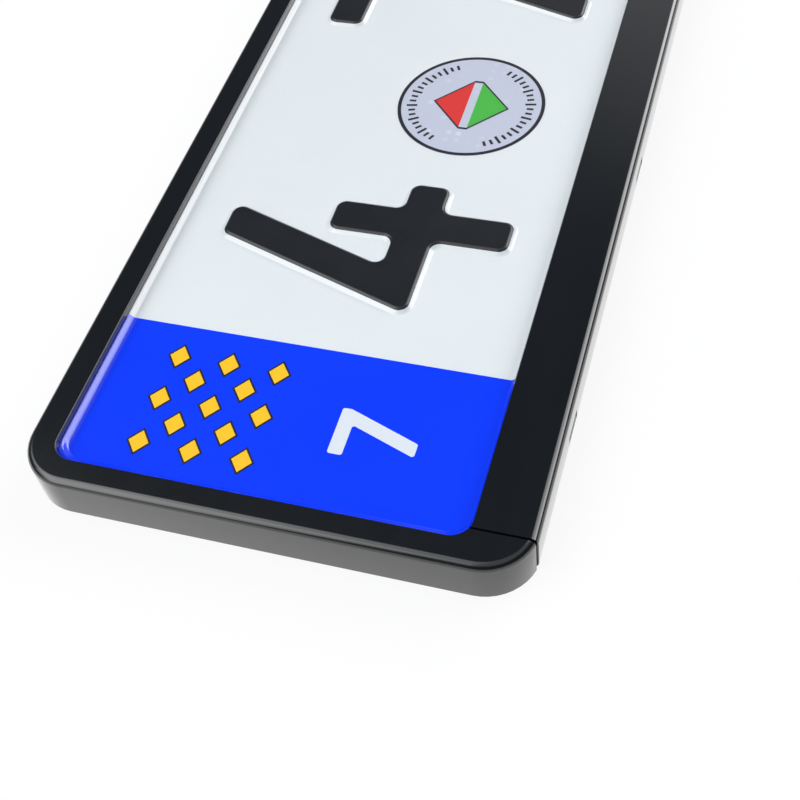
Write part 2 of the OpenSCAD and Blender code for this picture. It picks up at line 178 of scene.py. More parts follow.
def buildPlastic(graph, place):
    look = plasticLook
    clouds = noise(graph, place, look["cloudScale"], detail=4, roughness=0.6, stretch=(1, 2.2, 2.2))
    streaks = noise(graph, place, look["streakScale"], detail=3, roughness=0.55, stretch=(0.15, 3, 3))
    grain = noise(graph, place, look["grainScale"], detail=1)
    pattern = clouds * (1 - look["streakShare"]) + streaks * look["streakShare"]
    dull = clouds * (1 - look["dullStreakShare"]) + streaks * look["dullStreakShare"]
    return graph.add("ShaderNodeBsdfPrincipled", {}, {
        "Base Color": mixColour(graph, pattern, look["dark"], look["pale"]),
        "Roughness": look["roughness"] + dull * look["roughnessSpread"], "IOR": look["ior"],
        "Coat Weight": 1.0, "Coat Roughness": look["coatRoughness"], "Coat IOR": look["ior"],
        "Normal": bump(graph, grain, look["grainStrength"], look["grainHeight"])})


# Reflective film, a soft body under a clear coat
filmLook = {
    "roughness": 0.26,
    "roughnessSpread": 0.12,
    "coatRoughness": 0.12,
    "ior": 1.45,
    "cloudScale": 35,
    "grainScale": 2400,
    "grainStrength": 0.12,
    "grainHeight": 0.00002,
}
whiteFilmLook = {
    "dark": linear(218, 224, 227),
    "pale": linear(228, 234, 236),
    "grainShare": 0.5,          # of the colour, with the clouds for the rest
    "sheen": 0.5,               # the body's own gloss, where 0.5 is common
    "coatIor": 1.5,
}
blueFilmLook = {
    "dark": linear(1, 52, 246),
    "pale": linear(5, 62, 253),
    "grainShare": 0.4,
    "sheen": 0.0,
    "coatIor": 1.72,
}


def buildFilm(tone):
    def build(graph, place):
        look = filmLook
        grain = noise(graph, place, look["grainScale"], detail=2, roughness=0.6)
        clouds = noise(graph, place, look["cloudScale"], detail=3)
        pattern = grain * tone["grainShare"] + clouds * (1 - tone["grainShare"])
        return graph.add("ShaderNodeBsdfPrincipled", {}, {
            "Base Color": mixColour(graph, pattern, tone["dark"], tone["pale"]),
            "Roughness": look["roughness"] + clouds * look["roughnessSpread"],
            "IOR": look["ior"], "Specular IOR Level": tone["sheen"],
            "Coat Weight": 1.0, "Coat Roughness": look["coatRoughness"], "Coat IOR": tone["coatIor"],
            "Normal": bump(graph, grain, look["grainStrength"], look["grainHeight"])})
    return build


aluminiumLook = {
    "dark": linear(196, 199, 202),
    "pale": linear(226, 228, 230),
    "roughness": 0.32,
    "roughnessSpread": 0.2,
    "cloudScale": 20,
    "brushScale": 300,
    "brushShare": 0.7,
    "brushStrength": 0.1,
    "brushDepth": 0.00002,
}


def buildAluminium(graph, place):
    look = aluminiumLook
    brushed = noise(graph, place, look["brushScale"], detail=3, roughness=0.6, stretch=(0.04, 3, 3))
    clouds = noise(graph, place, look["cloudScale"], detail=3)
    pattern = brushed * look["brushShare"] + clouds * (1 - look["brushShare"])
    return graph.add("ShaderNodeBsdfPrincipled", {}, {
        "Base Color": mixColour(graph, pattern, look["dark"], look["pale"]), "Metallic": 1.0,
        "Roughness": look["roughness"] + brushed * look["roughnessSpread"],
        "Normal": bump(graph, brushed, look["brushStrength"], look["brushDepth"])})


foilLook = {
    "dark": linear(22, 24, 27),
    "pale": linear(32, 34, 38),
    "roughness": 0.22,
    "roughnessSpread": 0.12,
    "ior": 1.5,
    "cloudScale": 40,
    "grainScale": 1800,
    "grainStrength": 0.15,
    "grainHeight": 0.00001,
}


def buildFoil(graph, place):
    look = foilLook
    clouds = noise(graph, place, look["cloudScale"], detail=4, roughness=0.6)
    grain = noise(graph, place, look["grainScale"], detail=2)
    return graph.add("ShaderNodeBsdfPrincipled", {}, {
        "Base Color": mixColour(graph, clouds, look["dark"], look["pale"]),
        "Roughness": look["roughness"] + clouds * look["roughnessSpread"], "IOR": look["ior"],
        "Normal": bump(graph, grain, look["grainStrength"], look["grainHeight"])})


printLook = {"roughness": 0.38, "roughnessSpread": 0.1, "speckleScale": 1600}


# Ink of one colour, with specks that are darker by a share
def buildPrint(colour, share=0.08):
    def build(graph, place):
        look = printLook
        speckle = noise(graph, place, look["speckleScale"], detail=3, roughness=0.7)
        deeper = tuple(v * (1 - share) for v in colour)
        return graph.add("ShaderNodeBsdfPrincipled", {}, {
            "Base Color": mixColour(graph, speckle, deeper, colour),
            "Roughness": look["roughness"] + speckle * look["roughnessSpread"]})
    return build


labelLook = {
    "dark": linear(196, 201, 219),
    "pale": linear(214, 219, 231),
    "roughness": 0.34,
    "roughnessSpread": 0.1,
    "metallic": 0.12,
    "spotScale": 330,
    "spotScatter": 0.4,
    "spotEdge": (0.45, 0.15),       # distances from a spot's middle between which it fades in
    "patchScale": 90,
    "patchEdge": (0.4, 0.65),       # noise between which a patch of spots shows
}


def buildLabel(graph, place):
    look = labelLook
    spots = graph.add("ShaderNodeTexVoronoi", {"feature": "F1"}, {
        "Vector": place, "Scale": look["spotScale"], "Randomness": look["spotScatter"]})
    patches = noise(graph, place, look["patchScale"], detail=2)
    glow = fade(graph, spots, *look["spotEdge"]) * fade(graph, patches, *look["patchEdge"])
    return graph.add("ShaderNodeBsdfPrincipled", {}, {
        "Base Color": mixColour(graph, glow, look["dark"], look["pale"]),
        "Roughness": look["roughness"] + glow * look["roughnessSpread"], "Metallic": look["metallic"]})


materials = {
    "plastic": newMaterial("blackPlastic", buildPlastic),
    "whiteFilm": newMaterial("whiteFilm", buildFilm(whiteFilmLook)),
    "blueFilm": newMaterial("blueFilm", buildFilm(blueFilmLook)),
    "aluminium": newMaterial("bareAluminium", buildAluminium),
    "foil": newMaterial("blackFoil", buildFoil),
    "yellow": newMaterial("yellowPrint", buildPrint(linear(246, 194, 26))),
    "white": newMaterial("whitePrint", buildPrint(linear(216, 223, 232), share=0.04)),
    "navy": newMaterial("navyPrint", buildPrint(linear(4, 12, 36))),
    "dark": newMaterial("darkPrint", buildPrint(linear(30, 30, 40))),
    "red": newMaterial("redPrint", buildPrint(linear(214, 50, 46))),
    "green": newMaterial("greenPrint", buildPrint(linear(70, 178, 66))),
    "label": newMaterial("silverLabel", buildLabel),
}
print("materials made:", len(materials))


# Camera, lights and floor

# Camera fitted to the photo's straight edges, in metres, with its lens in millimetres
viewLook = {
    "place": (-0.39055, -0.09462, 0.24890),
    "aim": (-0.22100, -0.02083, 0.00850),
    "rollDegrees": -9.137,
    "lens": 58.39,
    "sensor": 36,
    "clip": (0.01, 20),
}


def makeCamera():
    data = bpy.data.cameras.new("camera")
    data.lens, data.sensor_width = viewLook["lens"], viewLook["sensor"]
    data.clip_start, data.clip_end = viewLook["clip"]
    camera = bpy.data.objects.new("camera", data)
    bpy.context.scene.collection.objects.link(camera)
    place = Vector(viewLook["place"])
    turn = (Vector(viewLook["aim"]) - place).to_track_quat("-Z", "Y")
    camera.rotation_mode = "QUATERNION"
    camera.location = place
    camera.rotation_quaternion = turn @ Quaternion((0, 0, 1), math.radians(viewLook["rollDegrees"]))
    bpy.context.scene.camera = camera


# The lamp's brightness is that of its face
lampLook = {"place": (-0.85, 0.85, 1.0), "aim": (-0.15, 0, 0), "size": (1.3, 1.0), "bright": 0.8}


def makeLamp(look):
    data = bpy.data.lights.new("overhead", "AREA")
    data.shape = "RECTANGLE"
    data.size, data.size_y = look["size"]
    data.energy = look["bright"] * math.pi * data.size * data.size_y
    lamp = bpy.data.objects.new("overhead", data)
    lamp.location = look["place"]
    lamp.rotation_mode = "QUATERNION"
    lamp.rotation_quaternion = (Vector(look["aim"]) - lamp.location).to_track_quat("-Z", "Y")
    bpy.context.scene.collection.objects.link(lamp)


# The studio's brightness by the direction (x, y, z) one looks in: a dark room with three soft glows,
# each with the parts of x, y or z over which it fades in. They are a wide softbox above and behind
# the camera that is brighter towards +y, one to the right, and a faint one far ahead, along +x.
worldLook = {
    "dark": (0.080, 0.097, 0.120),
    "above": {
        "low": 0.5, "high": 2.6, "gainY": (-0.1, 0.55),     # its brightness goes from low to high
        "x": (0.44, 0.2), "y": (0.9, 0.62), "z": (0.66, 0.84),
        "lift": 0.62, "liftY": (0.12, 0.42),                # its lower edge sinks by so much of z
    },
    "right": {
        "bright": 5.2, "x": (0.3, 0.42), "y": (-0.08, -0.16), "z": (0.27, 0.4),
        "topShare": 0.4, "topZ": (0.85, 0.42),              # what is left of it at its top
    },
    "ahead": {"bright": 0.45, "x": (0.68, 0.84), "y": (0.3, 0.16)},
}


# What the camera itself sees is white, and all else is lit by the studio
def makeWorld(look):
    world = bpy.data.worlds.new("studio")
    bpy.context.scene.world = world
    world.use_nodes = True
    graph = Graph(world.node_tree)
    rays = graph.add("ShaderNodeLightPath")
    x, y, z = graph.split(graph.add("ShaderNodeTexCoord", out="Generated"))

    box = look["above"]
    gain = fade(graph, y, *box["gainY"]) * (box["high"] - box["low"]) + box["low"]
    lifted = fade(graph, y, *box["liftY"]) * box["lift"] + z
    above = gain * fade(graph, x, *box["x"]) * fade(graph, lifted, *box["z"]) * fade(graph, y, *box["y"])

    box = look["right"]
    side = fade(graph, x, *box["x"]) * fade(graph, y, *box["y"]) * fade(graph, z, *box["z"])
    right = side * (fade(graph, z, *box["topZ"]) * (1 - box["topShare"]) + box["topShare"]) * box["bright"]

    box = look["ahead"]
    ahead = fade(graph, x, *box["x"]) * fade(graph, y, *box["y"]) * box["bright"]

    lit = above + right + ahead
    tone = graph.add("ShaderNodeVectorMath", {"operation": "ADD"}, {0: lit, 1: look["dark"]})
    soft = graph.add("ShaderNodeBackground", {}, {"Color": tone, "Strength": 1.0})
    plain = graph.add("ShaderNodeBackground", {}, {"Color": (1, 1, 1, 1), "Strength": 1.0})
    mixed = graph.add("ShaderNodeMixShader", {}, {0: rays, 1: soft, 2: plain})
    graph.add("ShaderNodeOutputWorld", {}, {"Surface": mixed})


# Camera and mirrored rays see the floor as almost white, and the object's shadow shows in the rest
floorLook = {"half": 3.0, "grey": (0.86, 0.86, 0.86), "whiteShare": 0.88}


def buildFloor(graph, place):
    rays = graph.add("ShaderNodeLightPath")
    seen = rays.maths("MAXIMUM", rays, graph.sibling(rays, "Is Glossy Ray"))
    grey = graph.add("ShaderNodeBsdfDiffuse", {}, {"Color": rgba(floorLook["grey"])})
    bright = graph.add("ShaderNodeEmission", {}, {"Color": (1, 1, 1, 1), "Strength": 1.0})
    return graph.add("ShaderNodeMixShader", {}, {0: seen * floorLook["whiteShare"], 1: grey, 2: bright})


def makeFloor(look):
    mesh = bpy.data.meshes.new("floor")
    half = look["half"]
    corners = [(-half, -half, 0), (half, -half, 0), (half, half, 0), (-half, half, 0)]
    mesh.from_pydata(corners, [], [(0, 1, 2, 3)])
    mesh.materials.append(newMaterial("paleFloor", buildFloor))
    floor = bpy.data.objects.new("floor", mesh)
    bpy.context.scene.collection.objects.link(floor)


makeCamera()
makeLamp(lampLook)
makeWorld(worldLook)
makeFloor(floorLook)
print("camera, lights and floor made")


# Meshes, all worked out in millimetres

def newPiece(name, mesh, body, slot, *replaced):
    piece = bpy.data.objects.new(name, mesh)
    bpy.context.scene.collection.objects.link(piece)
    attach(piece, body)
    if replaced:
        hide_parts(*replaced)
    print("made", name, "with", len(mesh.polygons), "faces")


def nodeBox(node):
    low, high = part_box(node)
    return np.array(low) / mm, np.array(high) / mm


# Mesh from points, faces and one normal for each face corner
def meshOf(name, points, faces, normals, material):
    mesh = bpy.data.meshes.new(name)
    mesh.from_pydata([tuple(v * mm for v in p) for p in points], [], faces)
    mesh.materials.append(material)
    mesh.shade_smooth()
    mesh.normals_split_custom_set([tuple(n) for n in normals])
    return mesh


def unit(v):
    return v / np.linalg.norm(v)


def leftOf(v):
    return np.array([-v[1], v[0]])


def turned(v, angle):
    c, s = math.cos(angle), math.sin(angle)
    return np.array([v[0] * c - v[1] * s, v[0] * s + v[1] * c])


# Outline through anticlockwise corners (x, y, radius): its points, and the outward direction at each.
# A corner has so many steps, or more of them where its radius is past roundFrom.
def softOutline(corners, steps=7, roundSteps=18, roundFrom=6):
    spots, outward = [], []
    ends = [np.array(c[:2], float) for c in corners]
    for i, corner in enumerate(corners):
        a = unit(ends[i] - ends[i - 1])
        b = unit(ends[(i + 1) % len(ends)] - ends[i])
        bend = 1 if a[0] * b[1] - a[1] * b[0] > 0 else -1
        sweep = bend * math.acos(max(-1.0, min(1.0, a @ b)))
        radius = corner[2]
        centre = ends[i] + bend * radius * (leftOf(a) + leftOf(b)) / (1 + a @ b)
        count = roundSteps if radius > roundFrom else steps
        for k in range(count + 1):
            away = -leftOf(turned(a, sweep * k / count))
            spots.append(centre + bend * radius * away)
            outward.append(away)
    return np.array(spots), np.array(outward)


# Corners of a box round the middle (x, y)
def levelBox(halfX, halfY, radius, x=0.0, y=0.0):
    return [(x - halfX, y - halfY, radius), (x + halfX, y - halfY, radius),
            (x + halfX, y + halfY, radius), (x - halfX, y + halfY, radius)]


# Whether a closed loop of points goes round a place
def isInside(place, loop):
    x, y = place
    ends = np.roll(loop, -1, axis=0)
    spans = (loop[:, 1] > y) != (ends[:, 1] > y)
    first, last = loop[spans], ends[spans]
    share = (y - first[:, 1]) / (last[:, 1] - first[:, 1])
    crossing = first[:, 0] + share * (last[:, 0] - first[:, 0])
    return np.count_nonzero(crossing > x) % 2 == 1


# Soft rise from 0 to 1, and its steepness
def smoothStep(t):
    t = min(1.0, max(0.0, t))
    return t * t * (3 - 2 * t)


def smoothSlope(t):
    return 6 * t * (1 - t) if 0 < t < 1 else 0.0


# A surface seen from the front: points, each point's normal, and faces
class Surface:
    def __init__(self):
        self.points, self.normals, self.faces = [], [], []

    def addRing(self, spots, outward, offset, height, slope):
        first = len(self.points)
        for spot, away in zip(spots, outward):
            self.points.append((*(spot + away * offset), height))
            self.normals.append(unit(np.array([*(away * slope), 1.0])))
        return list(range(first, len(self.points)))

    # Quads between an inner and an outer ring of the same outline
    def join(self, inner, outer):
        for i in range(len(inner)):
            j = (i + 1) % len(inner)
            self.faces.append((inner[i], outer[i], outer[j], inner[j]))

    # Triangles inside one ring, with holes left open
    def fill(self, ring, *holes):
        flat, edges, loops = [], [], []
        for loop in (ring, *holes):
            first, count = len(flat), len(loop)
            flat += loop
            edges += [(first + k, first + (k + 1) % count) for k in range(count)]
            loops.append(np.array([self.points[i][:2] for i in loop]))
        places = [Vector(self.points[i][:2]) for i in flat]
        insideOnly, within = 1, 1e-6
        made = delaunay_2d_cdt(places, edges, [], insideOnly, within)
        kept, triangles, sources = made[0], made[2], made[3]
        for triangle in triangles:
            middle = sum((np.array(kept[i]) for i in triangle), np.zeros(2)) / 3
            if not any(isInside(middle, loop) for loop in loops[1:]):
                face = [flat[sources[i][0]] for i in triangle]
                p, q, r = (np.array(kept[i]) for i in triangle)
                turn = (q - p)[0] * (r - p)[1] - (q - p)[1] * (r - p)[0]
                self.faces.append(tuple(face if turn > 0 else reversed(face)))

    # What lies on one side of the line x = place
    def cut(self, place, keepLeft):
        shape = bmesh.new()
        lean = shape.verts.layers.float_vector.new("lean")
        corners = [shape.verts.new(p) for p in self.points]
        for corner, normal in zip(corners, self.normals):
            corner[lean] = Vector(normal)
        for face in self.faces:
            shape.faces.new([corners[i] for i in face])
        bmesh.ops.bisect_plane(shape, geom=shape.verts[:] + shape.edges[:] + shape.faces[:], dist=1e-5,
                               plane_co=(place, 0, 0), plane_no=(1, 0, 0),
                               clear_outer=keepLeft, clear_inner=not keepLeft)
        loose = [v for v in shape.verts if not v.link_faces]
        bmesh.ops.delete(shape, geom=loose, context="VERTS")
        shape.verts.index_update()
        part = Surface()
        part.points = [tuple(v.co) for v in shape.verts]
        part.normals = [unit(np.array(v[lean])) for v in shape.verts]
        part.faces = [tuple(v.index for v in face.verts) for face in shape.faces]
        shape.free()
        return part

    # Closed shell that follows the surface, from lift down by the thickness
    def shell(self, name, lift, thickness, material):
        count = len(self.points)
        top = [(x, y, z + lift) for x, y, z in self.points]
        bottom = [(x, y, z + lift - thickness) for x, y, z in self.points]
        faces = list(self.faces)
        normals = [self.normals[i] for face in self.faces for i in face]
        for face in self.faces:
            back = tuple(i + count for i in reversed(face))
            faces.append(back)
            normals += [-self.normals[i - count] for i in back]
        edges = {(a, b): True for face in self.faces for a, b in zip(face, face[1:] + face[:1])}
        for a, b in edges:
            if (b, a) not in edges:         # an outer edge, which gets a wall
                along = unit(np.array(top[b]) - np.array(top[a]))
                away = np.array([along[1], -along[0], 0.0])
                faces.append((a, a + count, b + count, b))
                normals += [away] * 4
        return meshOf(name, top + bottom, faces, normals, material)


# Outlines of block digits of half width w and half height h, with stroke s and corners r. The other
# numbers are the digits' proportions.

def zeroOutlines(w, h, s, r):
    bend = 0.75 * w
    return [levelBox(w, h, bend), levelBox(w - s, h - s, bend - s)]


def oneOutlines(w, h, s, r):
    fall = 0.8
    left = 0.3 * w - s
    topX = left + 0.4 * s
    flagX = -0.75 * w
    flagY = h - fall * (topX - flagX)
    flagFoot = flagY - s * math.hypot(1, fall)
    return [[(left, -h, r), (left + s, -h, r), (left + s, h, r), (topX, h, r), (flagX, flagY, r),
             (flagX, flagFoot, r), (left, flagFoot + fall * (left - flagX), r)]]


def fourOutlines(w, h, s, r):
    barY = -0.48 * h
    stemX = 0.11 * w
    stemTop = barY + 2.7 * s
    topX = -0.19 * w
    slant = (topX + w) / (h - barY)
    slantS = s * math.hypot(1, slant)
    return [[(stemX, -h, r), (stemX + s, -h, r), (stemX + s, barY, r), (w, barY, r), (w, barY + s, r),
             (stemX + s, barY + s, r), (stemX + s, stemTop, r), (stemX, stemTop, r),
             (stemX, barY + s, r), (slant * s + slantS - w, barY + s, r), (topX + slantS, h, r),
             (topX, h, r), (-w, barY, r), (stemX, barY, r)]]


def sixOutlines(w, h, s, r):
    bend = 0.75 * w
    ringY = 2 * w - h
    kneeY = 0.95 * w - h
    topX = 0.05 * w
    slant = (topX + w) / (h - kneeY)
    slantS = s * math.hypot(1, slant)
    outer = [(-w, -h, bend), (w, -h, bend), (w, ringY, bend),
             (slant * (ringY - kneeY) + slantS - w, ringY, r), (topX + slantS, h, r), (topX, h, r),
             (-w, kneeY, bend)]
    return [outer, levelBox(w - s, w - s, bend - s, 0, w - h)]


def sevenOutlines(w, h, s, r):
    footX = 0.01 * w
    tip = 0.6 * s
    slant = (w - footX) / (2 * h - tip)
    slantS = s * math.hypot(1, slant)
    return [[(footX - slantS, -h, r), (footX, -h, r), (w, h - tip, r), (w, h, r), (-w, h, r),
             (-w, h - s, r), (footX - slantS + slant * (2 * h - s), h - s, r)]]


digitOutlines = {0: zeroOutlines, 1: oneOutlines, 4: fourOutlines, 6: sixOutlines, 7: sevenOutlines}


# Number plate: an embossed sheet, its films and the foil on its digits

plateLook = {
    "digits": (4, 7, 0, 1, 6, 0, 4),
    "digitX": (86.2, 194, 246, 320, 372, 424, 476),    # middles, from the plate's left end
    "digitSize": (44.5, 75.0),
    "stroke": 10.5,
    "strokeRadius": 2.6,
    "sheet": 1.0,
    "cornerRadius": 10.0,
    "rimEnd": 5.5,              # width of the raised rim at the ends
    "rimSide": 5.1,             # and its middle width along the top and bottom
    "bevel": 1.1,
    "fieldShift": 0.7,          # how far the field's middle lies above the plate's
    "fieldRadius": 5.0,
    "emboss": 1.2,
    "rimFoot": -0.35,           # from the field's edge in to where the rim's slope starts
    "rimShoulder": 1.45,        # and out to where it ends
    "digitFoot": 1.25,          # how far a digit's slope runs out past the foil's edge
    "digitShoulder": -0.85,     # and how far in under the foil
    "rimSteps": 10,
    "footSteps": 7,
    "shoulderSteps": 6,
    "film": 0.05,
    "foilLift": 0.75,           # of the film's thickness
    "foilThickness": 0.7,
    "band": 50.0,
}


# Distances at which the rings of a slope lie
def ringSteps(start, end, count):
    return [start + (end - start) * k / count for k in range(count + 1)]


class Plate:
    def __init__(self, look):
        self.look = look
        self.low, self.high = nodeBox("number_plate")
        self.middle = (self.low + self.high) / 2
        self.fieldZ = self.high[2] - look["emboss"]

    def digitPlaces(self):
        return [(digit, self.low[0] + x) for digit, x in zip(self.look["digits"], self.look["digitX"])]

    # Outlines of the digit whose middle is at x, each with the side on which the raised part lies
    def outlinesAt(self, digit, x):
        look = self.look
        half = look["digitSize"][0] / 2, look["digitSize"][1] / 2
        found = digitOutlines[digit](*half, look["stroke"], look["strokeRadius"])
        for k, corners in enumerate(found):
            placed = [(cx + x, cy + self.middle[1], r) for cx, cy, r in corners]
            spots, outward = softOutline(placed)
            yield spots, (outward if k == 0 else -outward)

    # Height and steepness of a digit's slope at a distance outside the foil's edge
    def digitRise(self, distance):
        foot, shoulder = self.look["digitFoot"], self.look["digitShoulder"]
        t = (foot - distance) / (foot - shoulder)
        rise = self.look["emboss"]
        return self.fieldZ + rise * smoothStep(t), rise * smoothSlope(t) / (foot - shoulder)

    # Joins rings that come in order of height; round an opening they widen as they rise
    def joinRings(self, surface, rings, widening):
        for lower, upper in zip(rings, rings[1:]):
            if widening:
                surface.join(lower, upper)
            else:
                surface.join(upper, lower)

    # The raised rim and the flat border outside it; gives the ring at the field's edge
    def rimRings(self, surface):
        look = self.look
        halfX = self.high[0] - look["rimEnd"] - look["bevel"]
        halfY = (self.high[1] - self.low[1]) / 2 - look["rimSide"] - look["bevel"]
        corners = levelBox(halfX, halfY, look["fieldRadius"], 0, self.middle[1] + look["fieldShift"])
        spots, outward = softOutline(corners, steps=14)
        start, end = look["rimFoot"], look["rimShoulder"]
        rings = []
        for d in ringSteps(start, end, look["rimSteps"]):
            t = (d - start) / (end - start)
            height = self.fieldZ + look["emboss"] * smoothStep(t)
            slope = -look["emboss"] * smoothSlope(t) / (end - start)
            rings.append(surface.addRing(spots, outward, d, height, slope))
        self.joinRings(surface, rings, widening=True)
        halfY = (self.high[1] - self.low[1]) / 2
        corners = levelBox(self.high[0], halfY, look["cornerRadius"], 0, self.middle[1])
        edge, away = softOutline(corners, steps=14, roundSteps=14)
        border = surface.addRing(edge, away, 0, self.high[2], 0)
        surface.fill(border, rings[-1])
        return rings[0]

    # The front of the whole sheet, and the part of it that the foil covers
    def surfaces(self):
        whole, foil = Surface(), Surface()
        field = self.rimRings(whole)
        holes = []
        look = self.look
        outer = ringSteps(look["digitFoot"], 0.0, look["footSteps"])
        inner = ringSteps(0.0, look["digitShoulder"], look["shoulderSteps"])
        for digit, x in self.digitPlaces():
            tops = {whole: [], foil: []}
            for k, (spots, away) in enumerate(self.outlinesAt(digit, x)):
                for surface, distances in ((whole, outer + inner[1:]), (foil, inner)):
                    rings = [surface.addRing(spots, away, d, *self.digitRise(d)) for d in distances]
                    self.joinRings(surface, rings, widening=k > 0)
                    tops[surface].append(rings[-1])
                    if surface is whole and k == 0:
                        holes.append(rings[0])
                    elif surface is whole:
                        whole.fill(rings[0])
            for surface, loops in tops.items():
                surface.fill(loops[0], *loops[1:])
        whole.fill(field, *holes)
        return whole, foil


plate = Plate(plateLook)
plateFront, foilFront = plate.surfaces()
bandEdge = plate.low[0] + plateLook["band"]
film = plateLook["film"]
sheetMesh = plateFront.shell("numberPlate", -film, plateLook["sheet"] - film, materials["aluminium"])
newPiece("plateSheet", sheetMesh, "holder", "white_sheet", "number_plate")
whiteMesh = plateFront.cut(bandEdge, keepLeft=False).shell("whiteFilm", 0, film, materials["whiteFilm"])
newPiece("whiteFilm", whiteMesh, "holder", "white_sheet")
blueMesh = plateFront.cut(bandEdge, keepLeft=True).shell("blueFilm", film, 2 * film, materials["blueFilm"])
newPiece("blueFilm", blueMesh, "holder", "blue_film", "blue_film")
foilLift, foilThickness = plateLook["foilLift"] * film, plateLook["foilThickness"] * film
foilMesh = foilFront.shell("digitFoil", foilLift, foilThickness, materials["foil"])
newPiece("digitFoil", foilMesh, "holder", "black_foil", "digit_foil")


# Frame and closing strip

mouldingLook = {
    "cornerRadius": 12.6,
    "edgeRadius": 1.8,
    "bevel": 0.4,
    "bevelTilt": (0.6, 0.8),    # upward part of the normal of a bevel's face
    "mergeWithin": 0.002,
    "smoothTo": 28,             # degrees between faces that shade as one
    "slack": 0.02,              # how far inside the skin's start a point still belongs to it
    "skinWithin": 0.03,         # how near to the skin a point lies
    "frontWithin": 0.001,       # and to the front
    "facing": 0.7,              # how much of a face's normal goes the skin's way
}


# Normal of the moulding's outer skin at a point, or nothing away from it. Only round corners bend
# in plan, so the strip, which is straight, has none.
def skinNormal(point, low, high, look, roundCorners):
    corner, edge, slack = look["cornerRadius"], look["edgeRadius"], look["slack"]
    middle, half = (low + high) / 2, (high - low) / 2
    core = half[:2] - corner
    flat = np.array(point[:2]) - middle[:2]
    off = flat - np.clip(flat, -core, core)
    if not roundCorners:
        off[0] = 0.0
    far = np.linalg.norm(off)
    lift = point[2] - (high[2] - edge)
    if far < corner - edge - slack or lift < -slack:
        return None
    across = off / far * (far - (corner - edge))
    normal = np.array([*across, max(0.0, lift)])
    return unit(normal) if abs(np.linalg.norm(normal) - edge) < look["skinWithin"] else None


# The CAD's own mesh with its doubles merged and its flat faces' edges kept sharp
def mergedCopy(node, look):
    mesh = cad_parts[node].data.copy()
    stored = mesh.attributes.get("custom_normal")
    if stored:
        mesh.attributes.remove(stored)
    shape = bmesh.new()
    shape.from_mesh(mesh)
    bmesh.ops.remove_doubles(shape, verts=shape.verts, dist=look["mergeWithin"] * mm)
    shape.to_mesh(mesh)
    shape.free()
    mesh.materials.clear()
    mesh.materials.append(materials["plastic"])
    mesh.shade_smooth()
    mesh.set_sharp_from_angle(angle=math.radians(look["smoothTo"]))
    return mesh


# Shades the front as flat, the outer skin as round and the window's bevel as a small rounding
def mouldedCopy(node, look, roundCorners):
    low, high = nodeBox("base_frame")
    front = high[2] * mm
    mesh = mergedCopy(node, look)
    normals = [tuple(n.vector) for n in mesh.corner_normals]
    skin = [skinNormal(v.co / mm, low, high, look, roundCorners) for v in mesh.vertices]
    atFront = [abs(v.co.z - front) < look["frontWithin"] * mm for v in mesh.vertices]
    tiltLow, tiltHigh = look["bevelTilt"]
    for face in mesh.polygons:
        ends = list(zip(face.loop_indices, face.vertices))
        if all(atFront[i] for i in face.vertices):
            for corner, i in ends:
                normals[corner] = (0.0, 0.0, 1.0)
        elif all(skin[i] is not None for i in face.vertices):
            across = np.array(face.normal)
            if all(across @ skin[i] > look["facing"] for i in face.vertices):
                for corner, i in ends:
                    normals[corner] = tuple(skin[i])
        elif tiltLow < face.normal.z < tiltHigh and face.center.z > front - look["bevel"] * mm:
            level = tuple(unit(np.array([face.normal.x, face.normal.y, 0.0])))
            for corner, i in ends:
                normals[corner] = (0.0, 0.0, 1.0) if atFront[i] else level
    mesh.normals_split_custom_set(normals)
    return mesh


frameMesh = mouldedCopy("base_frame", mouldingLook, roundCorners=True)
newPiece("frameMoulding", frameMesh, "holder", "black_plastic", "base_frame")
stripMesh = mouldedCopy("closing_strip", mouldingLook, roundCorners=False)
newPiece("closingStrip", stripMesh, "strip", "black_plastic", "closing_strip")


# Print that repeats, grown by geometry nodes

# Node group with a named input for each size, which ends in plain geometry with one material
def geometryTree(name, sizes, material, build):
    tree = bpy.data.node_groups.new(name, "GeometryNodeTree")
    tree.interface.new_socket(name="Geometry", in_out="OUTPUT", socket_type="NodeSocketGeometry")
    for label, value in sizes.items():
        kind = "NodeSocketInt" if isinstance(value, int) else "NodeSocketFloat"
        tree.interface.new_socket(name=label, in_out="INPUT", socket_type=kind)
    graph = Graph(tree)
    entry = graph.add("NodeGroupInput")
    shape = build(graph, {label: graph.sibling(entry, label) for label in sizes})
    flat = graph.add("GeometryNodeSetShadeSmooth", {}, {"Geometry": shape, "Shade Smooth": False})
    real = graph.add("GeometryNodeRealizeInstances", {}, {0: flat})
    done = graph.add("GeometryNodeSetMaterial", {}, {"Geometry": real, "Material": material})
    graph.add("NodeGroupOutput", {}, {0: done})
    return tree


# Plain mesh that a tree grows at a place, with its sizes set by socket
def grownMesh(name, tree, sizes, place):
    host = bpy.data.objects.new(name, bpy.data.meshes.new(name))
    bpy.context.scene.collection.objects.link(host)
    modifier = host.modifiers.new("grow", "NODES")
    modifier.node_group = tree
    for item in tree.interface.items_tree:
        if item.in_out == "INPUT":
            modifier[item.identifier] = sizes[item.name]
    bpy.context.view_layer.update()
    grown = bpy.data.meshes.new_from_object(host.evaluated_get(bpy.context.evaluated_depsgraph_get()))
    host.modifiers.remove(modifier)
    bpy.data.objects.remove(host)
    for corner in grown.vertices:
        corner.co = (corner.co + Vector(place)) * mm
    return grown


